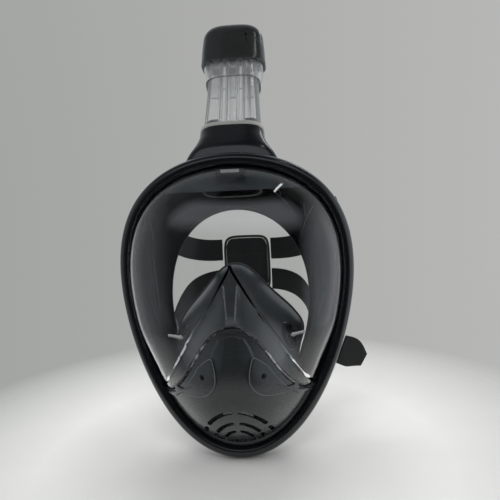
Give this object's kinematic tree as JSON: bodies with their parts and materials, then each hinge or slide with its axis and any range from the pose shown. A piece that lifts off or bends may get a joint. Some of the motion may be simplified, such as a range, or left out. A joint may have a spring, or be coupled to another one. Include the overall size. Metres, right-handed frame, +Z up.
{
  "type": "full face snorkel mask",
  "caption": "Full face snorkel mask: oval frame, clear curved lens, chin cover with exhaust slots, breathing pocket, clear snorkel with float valve, head straps.",
  "frame": {"origin": "centre of the mask where the head goes in: the middle of the frame's outline, on its middle surface", "axes": "the mask faces -Y, +Z is up as it is worn, +X is to the right seen from the front"},
  "size_m": [0.2114, 0.23, 0.3812],
  "materials": {
    "gloss_black": "moulded ABS, glossy black with a soft sheen",
    "matt_black": "fine matt mould texture",
    "chin_grey": "charcoal polycarbonate, semi-gloss",
    "satin_grey": "satin",
    "pale_plastic": "satin",
    "pale_silicone": "soft, satin",
    "black_silicone": "liquid silicone, satin",
    "smoky_silicone": "smoky silicone, semi-gloss",
    "grey_silicone": "satin",
    "clear": "polished clear polycarbonate",
    "steel": "stainless, bright",
    "float_foam": "closed-cell foam",
    "webbing": "woven elastic webbing"
  },
  "bodies": {
    "root": {"back_pad": "webbing", "button_spring": "steel", "chin_cover": "chin_grey", "chin_screw_left": "steel", "chin_screw_right": "steel", "chin_side_plate_left": "chin_grey", "chin_side_plate_right": "chin_grey", "clamp_screw_1": "steel", "clamp_screw_2": "steel", "clamp_screw_3": "steel", "clamp_screw_4": "steel", "clamp_screw_5": "steel", "clamp_screw_6": "steel", "duct_baffle": "satin_grey", "face_skirt": "black_silicone", "frame_ring": "gloss_black", "inhale_valve_seat_left": "matt_black", "inhale_valve_seat_right": "matt_black", "lens": "clear", "nose_pocket": "smoky_silicone", "purge_valve_seat": "matt_black", "rear_clamp_ring": "matt_black", "strap_anchor_lower_left": "matt_black", "strap_anchor_lower_right": "matt_black", "strap_anchor_upper_left": "matt_black", "strap_anchor_upper_right": "matt_black", "strap_lower_left": "webbing", "strap_lower_right": "webbing", "strap_pin_lower_left": "steel", "strap_pin_lower_right": "steel", "strap_pin_upper_left": "steel", "strap_pin_upper_right": "steel", "strap_upper_left": "webbing", "strap_upper_right": "webbing", "top_catch": "pale_plastic"},
    "snorkel": {"snorkel_tube": "clear", "tube_gasket": "grey_silicone", "valve_chamber": "clear", "snorkel_cap": "gloss_black", "valve_deck": "matt_black", "float_cage": "satin_grey"},
    "release_button": {"release_button": "satin_grey"},
    "float": {"float": "float_foam", "float_seal": "grey_silicone"},
    "exhaust_flap_left": {"exhaust_flap_left": "pale_silicone"},
    "exhaust_flap_right": {"exhaust_flap_right": "pale_silicone"},
    "inhale_flap_left": {"inhale_flap_left": "pale_silicone"},
    "inhale_flap_right": {"inhale_flap_right": "pale_silicone"},
    "purge_flap": {"purge_flap": "pale_silicone"},
    "clip_upper_left": {"strap_clip_upper_left": "gloss_black"},
    "clip_lower_left": {"strap_clip_lower_left": "gloss_black", "strap_tail_left": "webbing"},
    "slider_left": {"strap_slider_left": "gloss_black"},
    "clip_upper_right": {"strap_clip_upper_right": "gloss_black"},
    "clip_lower_right": {"strap_clip_lower_right": "gloss_black", "strap_tail_right": "webbing"},
    "slider_right": {"strap_slider_right": "gloss_black"}
  },
  "joints": [
    {"name": "snorkel_lift", "type": "slide", "parent": "root", "child": "snorkel", "axis": [0, 0.6691, 0.7431], "range_m": [0, 0.022]},
    {"name": "button_press", "type": "slide", "parent": "root", "child": "release_button", "axis": [0, -0.7431, 0.6691], "range_m": [0, 0.0025], "stiffness_N_per_m": 600, "springref_m": -0.001, "deforming": ["button_spring"]},
    {"name": "float_rise", "type": "slide", "parent": "snorkel", "child": "float", "axis": [0, 0.4695, 0.8829], "range_m": [0, 0.007]},
    {"name": "exhaust_flap_left_lift", "type": "hinge", "parent": "snorkel", "child": "exhaust_flap_left", "pos_m": [-0.0094, 0.10492, 0.22434], "axis": [0, 0.8829, -0.4695], "range_deg": [0, 22], "stiffness_Nm_per_rad": 0.0012},
    {"name": "exhaust_flap_right_lift", "type": "hinge", "parent": "snorkel", "child": "exhaust_flap_right", "pos_m": [0.0094, 0.10492, 0.22434], "axis": [0, -0.8829, 0.4695], "range_deg": [0, 22], "stiffness_Nm_per_rad": 0.0012},
    {"name": "inhale_flap_left_lift", "type": "slide", "parent": "root", "child": "inhale_flap_left", "axis": [0.8805, 0.3402, -0.3302], "range_m": [0, 0.0012], "stiffness_N_per_m": 20},
    {"name": "inhale_flap_right_lift", "type": "slide", "parent": "root", "child": "inhale_flap_right", "axis": [-0.8805, 0.3402, -0.3302], "range_m": [0, 0.0012], "stiffness_N_per_m": 20},
    {"name": "purge_flap_lift", "type": "slide", "parent": "root", "child": "purge_flap", "axis": [0, -0.8601, -0.5101], "range_m": [0, 0.0015], "stiffness_N_per_m": 20},
    {"name": "clip_upper_left_swing", "type": "hinge", "parent": "root", "child": "clip_upper_left", "pos_m": [-0.08707, 0.02974, 0.06825], "axis": [0.3527, -0.0003, 0.9357], "range_deg": [-8, 25], "stiffness_Nm_per_rad": 0.05},
    {"name": "clip_upper_right_swing", "type": "hinge", "parent": "root", "child": "clip_upper_right", "pos_m": [0.08707, 0.02974, 0.06825], "axis": [0.3527, 0.0003, -0.9357], "range_deg": [-8, 25], "stiffness_Nm_per_rad": 0.05},
    {"name": "clip_lower_left_swing", "type": "hinge", "parent": "root", "child": "clip_lower_left", "pos_m": [-0.07572, 0.01811, -0.04891], "axis": [-0.378, 0.1432, 0.9147], "range_deg": [-8, 25], "stiffness_Nm_per_rad": 0.05, "deforming": ["strap_tail_left"]},
    {"name": "clip_lower_right_swing", "type": "hinge", "parent": "root", "child": "clip_lower_right", "pos_m": [0.07572, 0.01811, -0.04891], "axis": [-0.378, -0.1432, -0.9147], "range_deg": [-8, 25], "stiffness_Nm_per_rad": 0.05, "deforming": ["strap_tail_right"]},
    {"name": "slider_left_adjust", "type": "slide", "parent": "root", "child": "slider_left", "axis": [-0.0065, 0.9427, 0.3336], "range_m": [-0.006, 0.006]},
    {"name": "slider_right_adjust", "type": "slide", "parent": "root", "child": "slider_right", "axis": [0.0065, 0.9427, 0.3336], "range_m": [-0.006, 0.006]}
  ]
}
